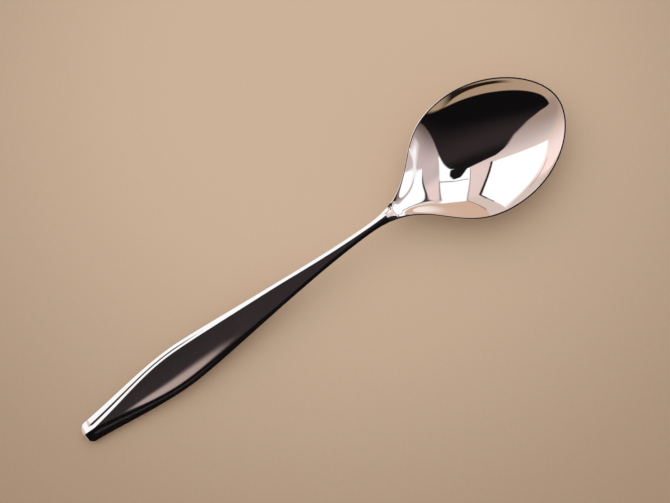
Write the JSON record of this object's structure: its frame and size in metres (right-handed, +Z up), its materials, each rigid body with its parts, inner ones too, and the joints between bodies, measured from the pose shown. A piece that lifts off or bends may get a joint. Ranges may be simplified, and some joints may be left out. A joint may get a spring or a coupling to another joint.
{
  "type": "dessert spoon",
  "caption": "Mirror-polished silver dessert spoon: egg-shaped bowl, slim neck and a leaf-shaped hollow handle with a dished centre facet between bevels.",
  "frame": {"origin": "on the table, under the middle of the spoon's length and width, with the spoon lying face up", "axes": "+X along the spoon from the handle tip to the end of the bowl, +Z up out of the open bowl, +Y across"},
  "size_m": [0.1779, 0.041, 0.0108],
  "materials": {
    "polished_silver": "mirror-polished silver with fine wear scratches",
    "cast_resin": "set resin, hidden inside the handle"
  },
  "bodies": {
    "root": {"bowl": "polished_silver", "stem": "polished_silver", "handle_front_shell": "polished_silver", "handle_back_shell": "polished_silver", "handle_filler": "cast_resin"}
  },
  "joints": []
}
